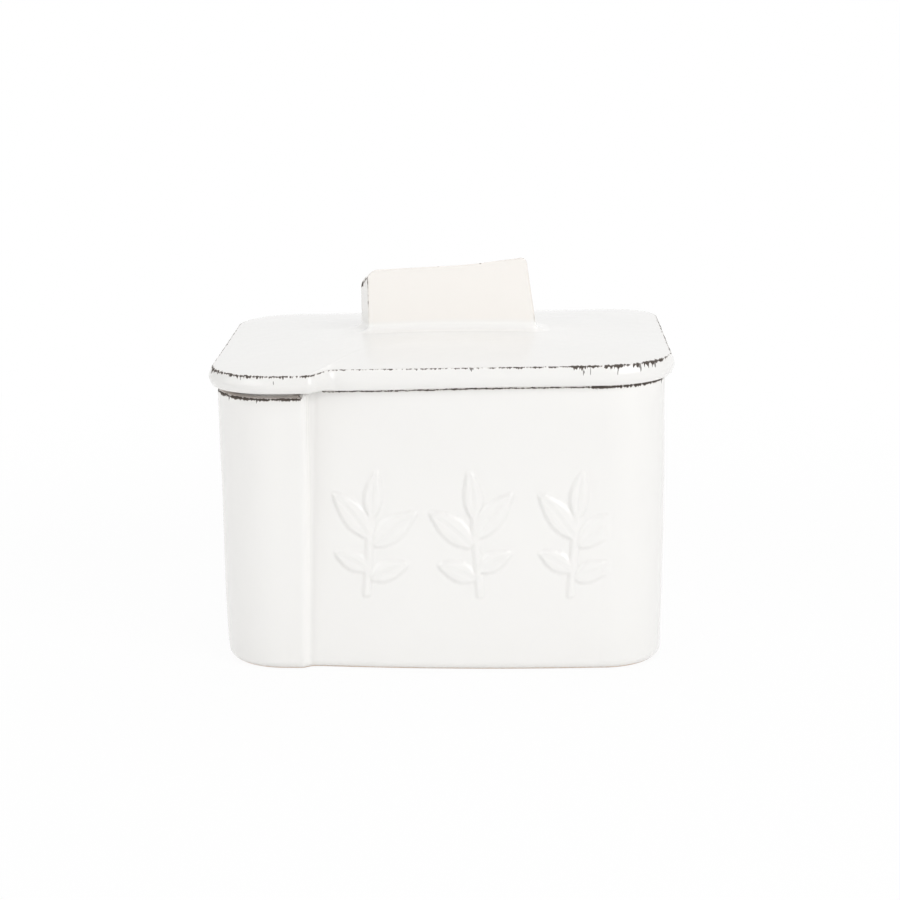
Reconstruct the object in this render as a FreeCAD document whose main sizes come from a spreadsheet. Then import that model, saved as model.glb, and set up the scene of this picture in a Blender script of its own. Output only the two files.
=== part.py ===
"""Glazed stoneware tea canister: a slab-sided jar with a rounded column at its
front left corner, and a loose lid with a cut slab of clay for its handle.

Millimetres and degrees. X runs to the right, Y to the back, Z up. The origin is
on the table, under the middle of the whole object's box.
"""
import FreeCAD, Part
import math
import os

import Sketcher

doc = FreeCAD.newDocument("TeaCanister")

SIZES = {
    # the lid's plate, widest half-way up its side
    "lid_length": 161.6,
    "lid_depth": 131.1,
    "lid_thickness": 7.1,
    "lid_crown": 4.5,
    "lid_hollow": 3.0,
    "lid_under_inset": 1.2,
    "lid_under_round": 1.6,
    "lid_crease_inset": 1.3,
    # corners of the plate's widest outline, seen from above
    "corner_front_left": 25.0,
    "corner_front_right": 26.0,
    "corner_back_right": 19.4,
    "corner_back_left": 25.2,
    # how far the column stands forward of the flat front
    "lid_step": 10.5,
    "lid_step_slant": 62.0,
    "lid_step_round": 3.5,
    "lid_front_start": 35.3,
    "jar_step": 9.4,
    "jar_step_base": 2.2,
    "jar_step_slant": 84.0,
    "jar_step_slant_base": 37.0,
    "jar_front_start": 42.3,
    "nose_round": 2.4,
    "nose_round_base": 2.4,
    "groove_round": 2.2,
    "groove_round_base": 2.0,
    # the jar's wall
    "overhang": 3.7,
    "overhang_sides": 2.75,
    "taper_left": 0.7,
    "taper_right": 0.2,
    "taper_front": 3.0,
    "taper_back": 1.8,
    "front_bow": 2.0,
    "wall": 5.4,
    "floor": 6.2,
    "floor_round": 4.0,
    "inner_step_slant": 45.0,
    "inner_step_slant_base": 28.0,
    "inner_step_round": 4.5,
    "inner_front_shift": 1.1,
    "base_bevel": 2.6,
    "base_bevel_height": 4.0,
    "base_shoulder": 0.8,
    "base_shoulder_height": 1.3,
    "foot_width": 5.5,
    "foot_recess": 1.4,
    # the jar's rim rises to the right, and dips at the column
    "rim_height": 101.9,
    "rim_tilt": 1.02,
    "rim_round": 1.1,
    "dip_depth": 1.8,
    "dip_run": 75.0,
    "dip_side": 46.9,
    # the flange that keeps the lid in place
    "flange_clearance": 1.6,
    "flange_width": 4.5,
    "flange_drop": 5.0,
    "flange_round": 1.2,
    "flange_step_round": 2.5,
    "flange_front_shift": 2.2,
    # the handle, measured from the middle of the lid and from its underside
    "handle_front": 1.0,
    "handle_thickness": 12.5,
    "handle_left": 27.7,
    "handle_left_skew": 3.0,
    "handle_right": 33.2,
    "handle_right_skew": 1.0,
    "handle_lean": 3.1,
    "handle_top_left": 33.5,
    "handle_top_middle": 34.9,
    "handle_top_right": 37.6,
    "handle_middle": 9.0,
    "handle_top_fall": 3.4,
    "handle_corner_left": 3.2,
    "handle_corner_right": 2.6,
    "handle_top_sweep": 150.0,
    "handle_edge_round": 0.7,
    "handle_foot_round": 2.2,
}

sheet = doc.addObject("Spreadsheet::Sheet", "Sizes")
for row, (alias, number) in enumerate(SIZES.items(), start=1):
    sheet.set("A%d" % row, alias)
    sheet.set("B%d" % row, str(number))
    sheet.setAlias("B%d" % row, alias)
doc.recompute()


class Size:
    """A number that keeps the sheet expression it comes from."""

    def __init__(self, value, text):
        self.value = value
        self.text = text

    def with_other(self, other, sign, result):
        return Size(result, "(%s %s %s)" % (self.text, sign, other.text))

    def __add__(self, other):
        other = as_size(other)
        return self.with_other(other, "+", self.value + other.value)

    def __sub__(self, other):
        other = as_size(other)
        return self.with_other(other, "-", self.value - other.value)

    def __mul__(self, other):
        other = as_size(other)
        return self.with_other(other, "*", self.value * other.value)

    def __truediv__(self, other):
        other = as_size(other)
        return self.with_other(other, "/", self.value / other.value)

    def __neg__(self):
        return Size(-self.value, "(0 - %s)" % self.text)

    def slope(self):
        """The rise for each millimetre run, if this is an angle in degrees."""
        return Size(math.tan(math.radians(self.value)), "tan(%s)" % self.text)


def as_size(number):
    return number if isinstance(number, Size) else Size(float(number), repr(float(number)))


def size(alias):
    return Size(float(sheet.get(alias)), "Sizes." + alias)


NONE = as_size(0)


# ---------------------------------------------------------------- sketch helpers
START, END = 1, 2
AXES = -1


def new_body(name):
    body = doc.addObject("PartDesign::Body", name)
    body.Label = name
    return body


def new_sketch(body, name, plane, across=0, up=0, out=0):
    """A sketch on one of the body's own origin planes, moved within and off it."""
    sketch = body.newObject("Sketcher::SketchObject", name)
    support = [feature for feature in body.Origin.OriginFeatures if feature.Role == plane]
    sketch.AttachmentSupport = [(support[0], "")]
    sketch.MapMode = "FlatFace"
    for axis, shift in (("x", across), ("y", up), ("z", out)):
        sketch.setExpression("AttachmentOffset.Base." + axis, as_size(shift).text)
    return sketch


def turn_sketch(sketch, axis, angle):
    """Turn a sketch on its plane, or about one of the plane's own axes."""
    offset = sketch.AttachmentOffset
    offset.Rotation = FreeCAD.Rotation(axis, angle.value)
    sketch.AttachmentOffset = offset
    sketch.setExpression("AttachmentOffset.Rotation.Angle", angle.text)


def bind(sketch, name, kind, places, value):
    """Add one driving dimension and tie it to the sheet."""
    number = math.radians(value.value) if kind == "Angle" else value.value
    index = sketch.addConstraint(Sketcher.Constraint(kind, *places, number))
    sketch.renameConstraint(index, name)
    sketch.setExpression("Constraints." + name, value.text)


def bind_from_origin(sketch, name, kind, geometry, point, place):
    """Fix one coordinate of a point, keeping the dimension itself positive."""
    if place.value < 0:
        bind(sketch, name, kind, (geometry, point, AXES, START), -place)
    else:
        bind(sketch, name, kind, (AXES, START, geometry, point), place)


def add_rounded_loop(sketch, corners):
    """A closed loop of straight runs, with a tangent arc at each rounded corner.

    corners holds (x, y, radius) as plain numbers, where the runs would meet. An
    arc touches its two runs at radius times the tangent of half the turn from
    the corner. Line i leaves corner i, and a corner of no radius has no arc.
    Returns the indices of the lines, and of each corner's arc or None.
    """
    count = len(corners)
    points = [FreeCAD.Vector(x, y, 0) for x, y, radius in corners]
    ways = [(points[(i + 1) % count] - points[i]).normalize() for i in range(count)]
    turns = [math.atan2(ways[i - 1].cross(ways[i]).z, ways[i - 1].dot(ways[i])) for i in range(count)]
    reach = [corners[i][2] * math.tan(abs(turns[i]) / 2) for i in range(count)]
    lines, arcs = [], []
    for i in range(count):
        after = (i + 1) % count
        run = Part.LineSegment(points[i] + ways[i] * reach[i], points[after] - ways[i] * reach[after])
        lines.append(sketch.addGeometry(run, False))
    for i in range(count):
        radius = corners[i][2]
        if radius == 0:
            arcs.append(None)
            sketch.addConstraint(Sketcher.Constraint("Coincident", lines[i - 1], END, lines[i], START))
            continue
        start = points[i] - ways[i - 1] * reach[i]
        leftwards = FreeCAD.Vector(-ways[i - 1].y, ways[i - 1].x, 0)
        centre = start + leftwards * math.copysign(radius, turns[i])
        first = math.atan2(start.y - centre.y, start.x - centre.x)
        last = first + turns[i]
        circle = Part.Circle(centre, FreeCAD.Vector(0, 0, 1), radius)
        arc = sketch.addGeometry(Part.ArcOfCircle(circle, min(first, last), max(first, last)), False)
        arrives, leaves = (START, END) if turns[i] > 0 else (END, START)
        sketch.addConstraint(Sketcher.Constraint("Tangent", lines[i - 1], END, arc, arrives))
        sketch.addConstraint(Sketcher.Constraint("Tangent", arc, leaves, lines[i], START))
        arcs.append(arc)
    return lines, arcs


def draw_profile(sketch, corners):
    """A rounded loop whose corners and radii are bound to the sheet.

    A rounded corner is bound by a construction point where its runs would meet.
    """
    numbers = [(x.value, y.value, radius.value) for x, y, radius in corners]
    lines, arcs = add_rounded_loop(sketch, numbers)
    for i, (x, y, radius) in enumerate(corners):
        held = (lines[i], START)
        if arcs[i] is not None:
            corner = sketch.addGeometry(Part.Point(FreeCAD.Vector(x.value, y.value, 0)), True)
            held = (corner, START)
            sketch.addConstraint(Sketcher.Constraint("PointOnObject", corner, START, lines[i - 1]))
            sketch.addConstraint(Sketcher.Constraint("PointOnObject", corner, START, lines[i]))
            bind(sketch, "radius%d" % i, "Radius", (arcs[i],), radius)
        bind_from_origin(sketch, "x%d" % i, "DistanceX", *held, x)
        bind_from_origin(sketch, "y%d" % i, "DistanceY", *held, y)


# ------------------------------------------------- the outline seen from above
class Outline:
    """The jar's and lid's common shape from above, at one height.

    All places are distances from the origin: left, right, back, and column for
    the front of the column. The flat front lies one step behind the column and
    starts at front_start, left of the origin. With a bow it swells forward.
    """

    def __init__(self, left, right, column, back, step, slant, front_start, radii, bow=None):
        self.left = left
        self.right = right
        self.column = column
        self.back = back
        self.step = step
        self.slant = slant
        self.front_start = front_start
        self.radii = radii
        self.bow = bow

    def inset(self, amount, nose=None):
        """Parallel outline inside this one; the groove's radius grows, the others shrink."""
        front_left, old_nose, groove, front_right, back_right, back_left = self.radii
        radii = [front_left - amount, nose or old_nose - amount, groove + amount]
        radii += [front_right - amount, back_right - amount, back_left - amount]
        return Outline(self.left - amount, self.right - amount, self.column - amount, self.back - amount,
                       self.step, self.slant, self.front_start, radii, self.bow)

    def shrunk(self, factor):
        """A smaller copy about the origin, whose step dies out as it shrinks."""
        front_left, nose, groove, front_right, back_right, back_left = self.radii
        radii = [front_left * factor, nose, groove]
        radii += [front_right * factor, back_right * factor, back_left * factor]
        step = self.step * factor ** 2
        return Outline(self.left * factor, self.right * factor, (self.column - self.step) * factor + step,
                       self.back * factor, step, self.slant * factor, self.front_start * factor, radii)

    def corners(self):
        """Where the straight runs would meet, with each corner's radius."""
        slant = math.radians(self.slant.value)
        groove_x = -self.front_start.value - self.radii[2].value * math.tan(slant / 2)
        nose_x = groove_x - self.step.value / math.tan(slant)
        column_y = -self.column.value
        front_y = column_y + self.step.value
        places = [(-self.left.value, column_y), (nose_x, column_y), (groove_x, front_y),
                  (self.right.value, front_y), (self.right.value, self.back.value),
                  (-self.left.value, self.back.value)]
        return [(x, y, radius.value) for (x, y), radius in zip(places, self.radii)]

    def sketch(self, body, name, height):
        sketch = new_sketch(body, name, "XY_Plane", out=height)
        self.draw(sketch, "")
        return sketch

    def draw(self, sketch, prefix):
        """Draw the loop and bind its every size; prefix keeps two loops' names apart."""
        (column, step, front, right, back, left), arcs = add_rounded_loop(sketch, self.corners())
        for level in (column, front, back):
            sketch.addConstraint(Sketcher.Constraint("Horizontal", level))
        for upright in (right, left):
            sketch.addConstraint(Sketcher.Constraint("Vertical", upright))
        names = ("front_left", "nose", "groove", "front_right", "back_right", "back_left")
        for arc, radius, name in zip(arcs, self.radii, names):
            bind(sketch, prefix + name, "Radius", (arc,), radius)
        bind(sketch, prefix + "slant", "Angle", (step,), self.slant)
        for name, kind, run, place in (("left", "DistanceX", left, -self.left),
                                       ("right", "DistanceX", right, self.right),
                                       ("column", "DistanceY", column, -self.column),
                                       ("front", "DistanceY", front, self.step - self.column),
                                       ("back", "DistanceY", back, self.back),
                                       ("front_start", "DistanceX", front, -self.front_start)):
            bind_from_origin(sketch, prefix + name, kind, run, START, place)
        if self.bow:
            self.bow_front(sketch, prefix, front)

    def bow_front(self, sketch, prefix, front):
        """Put an arc in place of the straight front, between the same two ends."""
        chord = self.right + self.front_start - self.radii[3]
        radius = chord * chord / (self.bow * 8) + self.bow / 2
        half_turn = math.asin(chord.value / 2 / radius.value)
        centre = FreeCAD.Vector(chord.value / 2 - self.front_start.value,
                                (self.step - self.column - self.bow + radius).value, 0)
        circle = Part.Circle(centre, FreeCAD.Vector(0, 0, 1), radius.value)
        lowest = -math.pi / 2
        arc = sketch.addGeometry(Part.ArcOfCircle(circle, lowest - half_turn, lowest + half_turn), False)
        sketch.toggleConstruction(front)
        for end in (START, END):
            sketch.addConstraint(Sketcher.Constraint("Coincident", arc, end, front, end))
        bind(sketch, prefix + "bow", "Radius", (arc,), radius)


# --------------------------------------------------------------- feature helpers
NEAR = 0.01


def loft(body, kind, name, sections, ruled):
    feature = body.newObject("PartDesign::" + kind, name)
    feature.Profile = sections[0]
    feature.Sections = sections[1:]
    feature.Ruled = ruled
    doc.recompute()
    return feature


def pocket(body, name, sketch, depth, upwards=False):
    feature = body.newObject("PartDesign::Pocket", name)
    feature.Profile = sketch
    feature.Reversed = upwards
    feature.setExpression("Length", depth.text)
    doc.recompute()
    return feature


def fillet(body, name, test, radius):
    """Round every edge whose points, five along it, pass the test."""
    base = body.Tip
    edges = []
    for number, edge in enumerate(base.Shape.Edges, start=1):
        first, last = edge.ParameterRange
        if test([edge.valueAt(first + (last - first) * part / 4) for part in range(5)]):
            edges.append("Edge%d" % number)
    feature = body.newObject("PartDesign::Fillet", name)
    feature.Base = (base, edges)
    feature.setExpression("Radius", radius.text)
    doc.recompute()
    return feature


# ----------------------------------------------------------------- the outlines
half_length = size("lid_length") / 2
half_depth = size("lid_depth") / 2
corner_sizes = [size("corner_" + name) for name in ("front_left", "front_right", "back_right", "back_left")]

plate_radii = [corner_sizes[0], size("lid_step_round"), size("lid_step_round")] + corner_sizes[1:]
plate = Outline(half_length, half_length, half_depth, half_depth, size("lid_step"), size("lid_step_slant"),
                size("lid_front_start"), plate_radii)

overhang = size("overhang")
front_wall = half_depth - size("lid_step") - overhang
jar_corners = [radius - overhang for radius in corner_sizes]
rim_radii = [jar_corners[0], size("nose_round"), size("groove_round")] + jar_corners[1:]
side_wall = half_length - size("overhang_sides")
jar_rim = Outline(side_wall, side_wall, front_wall + size("jar_step"),
                  half_depth - overhang, size("jar_step"), size("jar_step_slant"),
                  size("jar_front_start"), rim_radii)

base_radii = [jar_corners[0], size("nose_round_base"), size("groove_round_base")] + jar_corners[1:]
jar_base = Outline(jar_rim.left - size("taper_left"), jar_rim.right - size("taper_right"),
                   front_wall - size("taper_front") + size("jar_step_base"),
                   jar_rim.back - size("taper_back"), size("jar_step_base"), size("jar_step_slant_base"),
                   size("jar_front_start"), base_radii, bow=size("front_bow"))


def softened(outer, amount, slant):
    """An outline further in, whose step is a soft slope instead of a fold."""
    inner = outer.inset(amount, nose=size("inner_step_round"))
    inner.slant = slant
    inner.front_start = outer.front_start - size("inner_front_shift")
    return inner


slant_base = size("inner_step_slant_base")
cavity_rim = softened(jar_rim, size("wall"), size("inner_step_slant"))
cavity_base = softened(jar_base, size("wall"), slant_base)

# ---------------------------------------------------------------------- the jar
jar = new_body("jar")
rim_height = size("rim_height")
rim_tilt = size("rim_tilt")
floor = size("floor")
trim_margin = 4.0
blank_height = rim_height + trim_margin
jar_foot = softened(jar_base, size("base_bevel"), slant_base)
jar_shoulder = jar_base.inset(size("base_shoulder"), nose=(jar_foot.radii[1] + jar_base.radii[1]) / 2)
jar_shoulder.slant = (jar_foot.slant + jar_base.slant) / 2

loft(jar, "AdditiveLoft", "JarOutside",
     [jar_foot.sketch(jar, "FootOutline", 0),
      jar_shoulder.sketch(jar, "ShoulderOutline", size("base_shoulder_height")),
      jar_base.sketch(jar, "BaseOutline", size("base_bevel_height")),
      jar_rim.sketch(jar, "RimOutline", blank_height)], ruled=True)
loft(jar, "SubtractiveLoft", "JarCavity",
     [cavity_base.sketch(jar, "CavityFloorOutline", floor),
      cavity_rim.sketch(jar, "CavityRimOutline", blank_height)], ruled=True)

# the foot ring stands on the table, and the underside inside it is hollow
pocket(jar, "FootRecess", softened(jar_base, size("foot_width"), slant_base).sketch(jar, "FootRecessOutline", 0),
       size("foot_recess"), upwards=True)

# the rim is trimmed along a plane that rises to the right
trim_sketch = new_sketch(jar, "RimTrimOutline", "XZ_Plane", up=rim_height)
turn_sketch(trim_sketch, FreeCAD.Vector(0, 0, 1), rim_tilt)
reach = half_length + trim_margin
above = as_size(3 * trim_margin)
draw_profile(trim_sketch, [(-reach, NONE, NONE), (reach, NONE, NONE), (reach, above, NONE),
                           (-reach, above, NONE)])
trim = jar.newObject("PartDesign::Pocket", "RimTrim")
trim.Profile = trim_sketch
trim.Type = "ThroughAll"
trim.Midplane = True
doc.recompute()


def on_rim(points):
    """A test for edges that lie in the rim's tilted plane."""
    rise = rim_tilt.slope().value
    return all(abs(point.z - rim_height.value - rise * point.x) < NEAR for point in points)


def level(height):
    """A test for edges that lie in one level plane."""
    return lambda points: all(abs(point.z - height.value) < NEAR for point in points)


fillet(jar, "RimRound", on_rim, size("rim_round"))
fillet(jar, "FloorRound", level(floor), size("floor_round"))

# the column's own rim lies lower, and rises to meet the lid towards the back
dip_side = size("dip_side")
dip_run = size("dip_run")
dip_fall = size("dip_depth") / dip_run
dip_front = -jar_rim.column
dip_sketch = new_sketch(jar, "RimDipOutline", "YZ_Plane", up=rim_height - dip_side * rim_tilt.slope(),
                        out=-dip_side)
turn_sketch(dip_sketch, FreeCAD.Vector(-1, 0, 0), rim_tilt)
dip_start = dip_front - trim_margin
dip_end = dip_front + dip_run + trim_margin
draw_profile(dip_sketch, [(dip_start, -dip_fall * (dip_run + trim_margin), NONE),
                          (dip_end, dip_fall * trim_margin, NONE),
                          (dip_end, above, NONE), (dip_start, above, NONE)])
pocket(jar, "RimDip", dip_sketch, half_length)

# ---------------------------------------------------------------------- the lid
# The lid is drawn level, its underside at height 0, and placed on the tilted rim.
lid = new_body("lid")
lid_top = size("lid_thickness")
crown = size("lid_crown")
crease = plate.inset(size("lid_crease_inset"))

loft(lid, "AdditiveLoft", "LidPlate",
     [plate.inset(size("lid_under_inset")).sketch(lid, "UnderOutline", 0),
      plate.sketch(lid, "WidestOutline", lid_top / 2),
      crease.sketch(lid, "CreaseOutline", lid_top)], ruled=False)

# the crown falls off with the square of the distance from the middle
crown_steps = (0.8, 0.6, 0.4, 0.2)
crown_sketches = [crease.sketch(lid, "CrownOutline0", lid_top)]
for number, factor in enumerate(crown_steps, start=1):
    rise = crown * (1 - factor ** 2)
    crown_sketches.append(crease.shrunk(factor).sketch(lid, "CrownOutline%d" % number, lid_top + rise))
loft(lid, "AdditiveLoft", "LidCrown", crown_sketches, ruled=False)

# the handle's front and back faces; its foot is buried in the crown
handle_front = size("handle_front")
handle_back = size("handle_thickness") - handle_front
handle_left = -size("handle_left")
handle_right = size("handle_right")


def handle_face(name, out, left, right, fall):
    """One face of the slab, its top corners cut round and its top edge swept up."""
    sketch = new_sketch(lid, name, "XZ_Plane", out=out)
    middle = size("handle_middle")
    draw_profile(sketch, [(left, lid_top, NONE), (right, lid_top, NONE),
                          (right - size("handle_lean"), size("handle_top_right") - fall,
                           size("handle_corner_right")),
                          (middle, size("handle_top_middle") - fall, size("handle_top_sweep")),
                          (left, size("handle_top_left") - fall, size("handle_corner_left"))])
    return sketch


loft(lid, "AdditiveLoft", "HandleSlab",
     [handle_face("HandleFront", handle_front, handle_left, handle_right, NONE),
      handle_face("HandleBack", -handle_back, handle_left - size("handle_left_skew"),
                  handle_right - size("handle_right_skew"), size("handle_top_fall"))], ruled=True)


def reaches_handle_top(points):
    return max(point.z for point in points) > (lid_top + crown).value + size("handle_foot_round").value


def at_handle_foot(points):
    """Where the slab meets the crown, within the slab's own outline."""
    left = (handle_left - size("handle_left_skew")).value - NEAR
    right = handle_right.value + NEAR
    return all(left < point.x < right and -handle_front.value - NEAR < point.y < handle_back.value + NEAR
               and lid_top.value + NEAR < point.z < (lid_top + crown).value for point in points)


fillet(lid, "HandleRound", reaches_handle_top, size("handle_edge_round"))
fillet(lid, "HandleFootRound", at_handle_foot, size("handle_foot_round"))
fillet(lid, "UnderRound", level(NONE), size("lid_under_round"))

# the flange drops inside the jar's mouth, and the lid is hollowed within it
flange_outer = cavity_rim.inset(size("flange_clearance"), nose=size("inner_step_round"))
flange_inner = flange_outer.inset(size("flange_width"), nose=size("flange_step_round"))
flange_inner.front_start = flange_outer.front_start - size("flange_front_shift")
pocket(lid, "LidHollow", flange_inner.sketch(lid, "LidHollowOutline", 0), size("lid_hollow"), upwards=True)

flange_sketch = new_sketch(lid, "FlangeOutline", "XY_Plane")
flange_outer.draw(flange_sketch, "outer_")
flange_inner.draw(flange_sketch, "inner_")
flange = lid.newObject("PartDesign::Pad", "Flange")
flange.Profile = flange_sketch
flange.Reversed = True
flange_drop = size("flange_drop")
flange.setExpression("Length", flange_drop.text)
doc.recompute()
fillet(lid, "FlangeRound", level(-flange_drop), size("flange_round"))
fillet(lid, "HollowRound", level(size("lid_hollow")), size("flange_round"))

lid.Placement = FreeCAD.Placement(FreeCAD.Vector(0, 0, rim_height.value),
                                  FreeCAD.Rotation(FreeCAD.Vector(0, -1, 0), rim_tilt.value))
lid.setExpression("Placement.Base.z", rim_height.text)
lid.setExpression("Placement.Rotation.Angle", rim_tilt.text)
doc.recompute()

# ------------------------------------------------------------ checks and export
for item in doc.Objects:
    if "Invalid" in item.State or "Error" in item.State:
        raise RuntimeError("%s did not build: %s" % (item.Name, item.State))

os.makedirs("parts", exist_ok=True)
for body in (jar, lid):
    if body.Shape.isNull() or not body.Shape.isValid() or len(body.Shape.Solids) != 1:
        raise RuntimeError("%s is not one valid solid" % body.Label)
    body.Shape.exportStep("parts/%s.step" % body.Label)
    box = body.Shape.optimalBoundingBox()
    print("%s: %.1f cm3, %.1f x %.1f x %.1f mm" % (body.Label, body.Shape.Volume / 1000,
                                                   box.XLength, box.YLength, box.ZLength))
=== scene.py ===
"""A glazed stoneware tea canister: a jar and its lid, as soft clay under thick glaze.

Shapes are worked out in millimetres, in the frame's own axes, and become metres
as each mesh is made. X runs to the right, Y to the back and Z up.
"""
import math

import bpy
import numpy as np
from mathutils import Matrix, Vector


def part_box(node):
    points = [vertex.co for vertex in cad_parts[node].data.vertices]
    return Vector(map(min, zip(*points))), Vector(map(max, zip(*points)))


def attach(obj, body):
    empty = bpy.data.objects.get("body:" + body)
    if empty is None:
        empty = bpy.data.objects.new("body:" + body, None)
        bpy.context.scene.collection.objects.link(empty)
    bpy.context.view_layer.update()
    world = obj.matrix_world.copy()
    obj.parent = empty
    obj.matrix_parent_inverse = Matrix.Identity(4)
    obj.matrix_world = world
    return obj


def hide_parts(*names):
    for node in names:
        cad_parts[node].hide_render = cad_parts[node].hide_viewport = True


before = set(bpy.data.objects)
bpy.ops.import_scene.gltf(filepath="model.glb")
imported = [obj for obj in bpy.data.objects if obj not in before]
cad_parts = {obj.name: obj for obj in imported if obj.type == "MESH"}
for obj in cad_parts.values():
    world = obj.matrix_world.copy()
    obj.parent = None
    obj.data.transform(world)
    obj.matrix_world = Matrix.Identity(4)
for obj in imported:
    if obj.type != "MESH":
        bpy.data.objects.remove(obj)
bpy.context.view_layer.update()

lid_low, lid_high = (np.array(corner) * 1000 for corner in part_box("lid"))

# ------------------------------------------------------------- sizes, in mm
TILT = math.radians(1.02)            # the rim and lid rise to the right
HALF_LENGTH = (lid_high[0] - lid_low[0]) / 2 / math.cos(TILT)
HALF_DEPTH = (lid_high[1] - lid_low[1]) / 2
RIM = 101.9                          # the rim's height at the middle
LID_THICKNESS = 7.1
LID_STEP = 10.5                      # how far the column stands forward
OVERHANG, SIDE_OVERHANG = 3.7, 2.75
WALL = 5.4
FLOOR = 6.2
RIM_STEP, BASE_STEP = 9.4, 2.2       # the jar's own step, at its rim and its base
LOFT_BASE, LOFT_TOP = 4.0, 105.9     # where the jar's base and rim outlines lie
FRONT_TAPER = 3.0                    # how far the flat front's foot lies behind its top
FRONT_BOW, BOW_MIDDLE, BOW_HALF = 2.0, 6.5, 48.8   # how the flat front swells at its base
FAR = 90.0                           # a distance at which no edge counts

# An outline's sizes: how far it reaches, its step, and its corners' radii. The
# share is what each loses for every millimetre that the outline moves in.
(LEFT, RIGHT, COLUMN, BACK, STEP, SLANT, START,
 FRONT_LEFT, NOSE, GROOVE, FRONT_RIGHT, BACK_RIGHT, BACK_LEFT) = range(13)
INSET_SHARE = np.array([1, 1, 1, 1, 0, 0, 0, 1, 1, -1, 1, 1, 1.0])


def resized(sizes, changes):
    """A copy of an outline's sizes with some of them changed."""
    sizes = sizes.copy()
    for place, value in changes.items():
        sizes[place] = value
    return sizes


def inset(sizes, amount):
    """The parallel outline further in: round corners tighten, the groove opens."""
    return sizes - np.multiply.outer(amount, INSET_SHARE)


PLATE = resized(0 * INSET_SHARE, {
    LEFT: HALF_LENGTH, RIGHT: HALF_LENGTH, COLUMN: HALF_DEPTH, BACK: HALF_DEPTH,
    STEP: LID_STEP, SLANT: 62, START: 35.3, NOSE: 3.5, GROOVE: 3.5,
    FRONT_LEFT: 25, FRONT_RIGHT: 26, BACK_RIGHT: 19.4, BACK_LEFT: 25.2})
FRONT_WALL = HALF_DEPTH - LID_STEP - OVERHANG
SIDE_WALL = HALF_LENGTH - SIDE_OVERHANG
JAR_RIM = resized(inset(PLATE, OVERHANG), {
    LEFT: SIDE_WALL, RIGHT: SIDE_WALL, COLUMN: FRONT_WALL + RIM_STEP,
    STEP: RIM_STEP, SLANT: 84, START: 42.3, NOSE: 2.4, GROOVE: 2.2})
JAR_BASE = resized(JAR_RIM, {
    LEFT: SIDE_WALL - 0.7, RIGHT: SIDE_WALL - 0.2, BACK: JAR_RIM[BACK] - 1.8,
    COLUMN: FRONT_WALL - FRONT_TAPER + BASE_STEP,
    STEP: BASE_STEP, SLANT: 37, START: 45.0, GROOVE: 2.0})


def soft_step(sizes, amount):
    """A parallel outline whose step is a gentle slope, as on the inner walls."""
    inner = inset(sizes, amount)
    inner[:, SLANT] = np.interp(sizes[STEP], [BASE_STEP, RIM_STEP], [28, 45])
    inner[:, START] -= 1.1
    inner[:, NOSE] = 4.5
    return inner


# ------------------------------------------------------------------ surfaces
CORNER_STEPS = (22, 8, 8, 22, 18, 20)
RUN_STEPS = (26, 6, 190, 40, 70, 44)
ARC_SPACING = 0.35                   # along a profile's rounded corners


def rings(sizes):
    """Rings of points seen from above, one for each row of sizes, anticlockwise.

    Six corners are joined by straight runs: front left, nose, groove, front
    right, back right and back left. Each corner is an arc that touches
    its runs at radius times the tangent of half the turn from the corner, and a
    point of it lies one radius from the arc's centre, square to the heading.
    Where the nose's and groove's arcs would overlap, both shrink to fit.
    Returns x, y and the heading in radians, all as rows of rings.
    """
    left, right, column, back, step, slant, start, *radii = [s[:, None] for s in sizes.T]
    slant = np.radians(slant)
    fit = step / np.sin(slant) / (radii[1] + radii[2]) / np.tan(slant / 2)
    radii[1:3] = [radius * np.minimum(1, 0.97 * fit) for radius in radii[1:3]]
    groove_x = -start - radii[2] * np.tan(slant / 2)
    nose_x = groove_x - step / np.tan(slant)
    front = step - column
    corners = [(-left, -column), (nose_x, -column), (groove_x, front),
               (right, front), (right, back), (-left, back)]
    quarter = np.full_like(left, math.pi / 2)
    headings = [0 * quarter, slant, 0 * quarter, quarter, 2 * quarter, 3 * quarter]
    turns = [quarter, slant, -slant, quarter, quarter, quarter]
    arcs = []
    for (x, y), radius, leaving, turn, steps in zip(corners, radii, headings, turns, CORNER_STEPS):
        arriving = leaving - turn
        reach = radius * np.tan(np.abs(turn) / 2)
        lean = np.sign(turn) * radius
        centre_x = x - reach * np.cos(arriving) - lean * np.sin(arriving)
        centre_y = y - reach * np.sin(arriving) + lean * np.cos(arriving)
        heading = arriving + turn * np.linspace(0, 1, steps)
        arcs.append((centre_x + lean * np.sin(heading), centre_y - lean * np.cos(heading), heading))
    parts = []
    for number, steps in enumerate(RUN_STEPS):
        here, after = arcs[number], arcs[(number + 1) % 6]
        share = np.linspace(0, 1, steps + 2)[1:-1]
        parts.append(here)
        parts.append((here[0][:, -1:] * (1 - share) + after[0][:, :1] * share,
                      here[1][:, -1:] * (1 - share) + after[1][:, :1] * share,
                      headings[number] + 0 * share))
    return [np.concatenate(columns, axis=1) for columns in zip(*parts)]


def blended_rings(sizes, insets, softness):
    """Rings at these insets, passing to the outline with the soft step by softness."""
    softness = softness[:, None]
    return rings(inset(sizes, insets) * (1 - softness) + soft_step(sizes, insets) * softness)


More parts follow.
